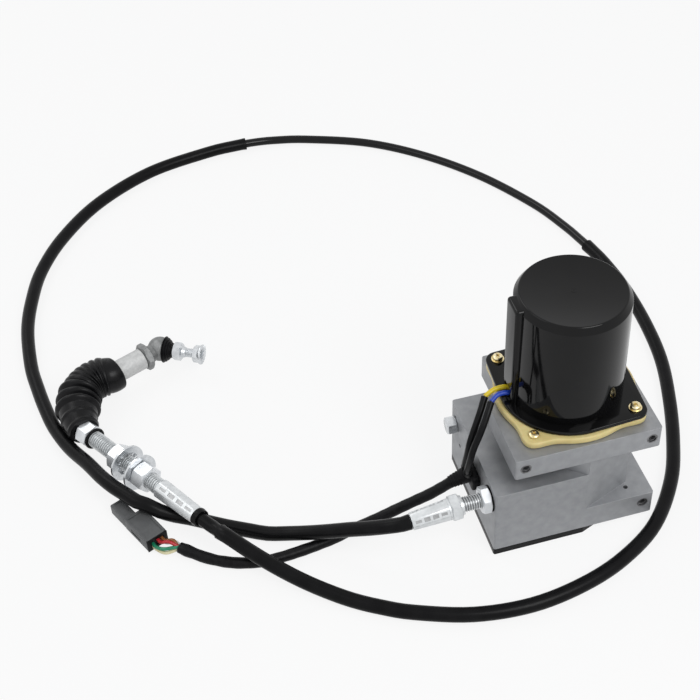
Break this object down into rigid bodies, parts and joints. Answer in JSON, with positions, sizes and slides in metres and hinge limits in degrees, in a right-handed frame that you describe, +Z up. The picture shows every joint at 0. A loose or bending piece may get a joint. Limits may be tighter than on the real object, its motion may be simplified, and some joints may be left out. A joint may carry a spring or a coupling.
{
  "type": "engine governor actuator",
  "caption": "Motor-driven governor actuator: machined housing, black motor bell, rack-driven push-pull throttle cable with threaded far end, bellows and ball joint, and sealed wiring connector",
  "frame": {"origin": "centre of the actuator's footprint on the surface it stands on, cable left out", "axes": "+Z up along the motor axis, -Y toward the face with the threaded mounting holes, -X toward the cable outlet"},
  "size_m": [0.5417, 0.6469, 0.203],
  "materials": {
    "machined_aluminium": "fine milled, satin",
    "black_bell": "glossy black",
    "black_paint": "satin black",
    "cream_flange": "moulded, satin",
    "zinc": "bright zinc",
    "yellow_zinc": "yellow zinc",
    "steel": "ground steel",
    "bronze": "cut bronze",
    "grey_fitting": "matt grey",
    "grey_plastic": "moulded, matt",
    "black_rubber": "matt rubber",
    "yellow_wire": "wire insulation",
    "blue_wire": "wire insulation"
  },
  "bodies": {
    "actuator": {"lower_housing": "machined_aluminium", "upper_plate": "machined_aluminium", "motor_cover": "black_bell", "bottom_cover": "black_paint", "motor_flange": "cream_flange", "side_bolt": "zinc", "jam_nut": "zinc", "near_hub": "zinc", "far_hub": "zinc", "far_nut_1": "zinc", "far_nut_2": "zinc", "far_washer_1": "zinc", "far_washer_2": "zinc", "swivel_nut": "zinc", "bottom_cover_screw_1": "zinc", "bottom_cover_screw_2": "zinc", "bottom_cover_screw_3": "zinc", "bottom_cover_screw_4": "zinc", "cover_screw_1": "yellow_zinc", "cover_screw_2": "yellow_zinc", "flange_screw_1": "yellow_zinc", "flange_screw_2": "yellow_zinc", "lower_bearing": "steel", "upper_bearing": "steel", "motor_stator": "steel", "intermediate_pin": "steel", "plate_screw_1": "steel", "plate_screw_2": "steel", "plate_screw_3": "steel", "plate_screw_4": "steel", "connector": "grey_plastic", "position_sensor": "grey_plastic", "motor_end_bell": "grey_plastic", "outer_sleeve_near": "black_rubber", "cable_conduit": "black_rubber", "outer_sleeve_far": "black_rubber", "harness": "black_rubber", "lead_sleeve_1": "black_rubber", "lead_sleeve_2": "black_rubber", "harness_boot": "black_rubber", "bellows": "black_rubber", "connector_seal": "black_rubber", "lead_wire_yellow": "yellow_wire", "lead_wire_blue": "blue_wire"},
    "rotor": {"rotor_core": "steel", "rotor_shaft": "steel", "motor_pinion": "steel"},
    "idler": {"intermediate_gear": "bronze", "intermediate_pinion": "steel"},
    "output": {"output_shaft": "steel", "output_gear": "bronze", "output_pinion": "steel"},
    "rack": {"rack": "steel"},
    "rod_end": {"rod_tube": "grey_fitting", "ball_socket": "grey_fitting"},
    "ball_stud": {"ball_stud": "zinc", "ball_boot": "black_rubber", "stud_nut": "zinc"}
  },
  "joints": [
    {"name": "rotor_spin", "type": "hinge", "parent": "actuator", "child": "rotor", "pos_m": [0.012, 0, 0.1], "axis": [0, 0, -1], "range_deg": [-436, 1090]},
    {"name": "idler_spin", "type": "hinge", "parent": "actuator", "child": "idler", "pos_m": [-0.01395, -0.00169, 0.025], "axis": [0, 0, -1], "range_deg": [-328, 131.5]},
    {"name": "output_turn", "type": "hinge", "parent": "actuator", "child": "output", "pos_m": [-0.02, -0.028, 0.035], "axis": [0, 0, -1], "range_deg": [-46, 115]},
    {"name": "rack_slide", "type": "slide", "parent": "actuator", "child": "rack", "axis": [-1, 0, 0], "range_m": [-0.008, 0.02]},
    {"name": "rod_slide", "type": "slide", "parent": "actuator", "child": "rod_end", "axis": [0.9134, 0.4072, 0], "range_m": [-0.008, 0.02], "deforming": ["bellows"]},
    {"name": "ball_swing", "type": "hinge", "parent": "rod_end", "child": "ball_stud", "pos_m": [-0.2668, 0.2278, 0.0198], "axis": [0, 0, 1], "range_deg": [-12, 12]}
  ],
  "couplings": [
    {"joint": "idler_spin", "follows": "rotor_spin", "ratio": -0.3},
    {"joint": "output_turn", "follows": "rotor_spin", "ratio": 0.105},
    {"joint": "rack_slide", "follows": "rotor_spin", "m_per_rad": 0.00105},
    {"joint": "rod_slide", "follows": "rotor_spin", "m_per_rad": 0.00105}
  ]
}
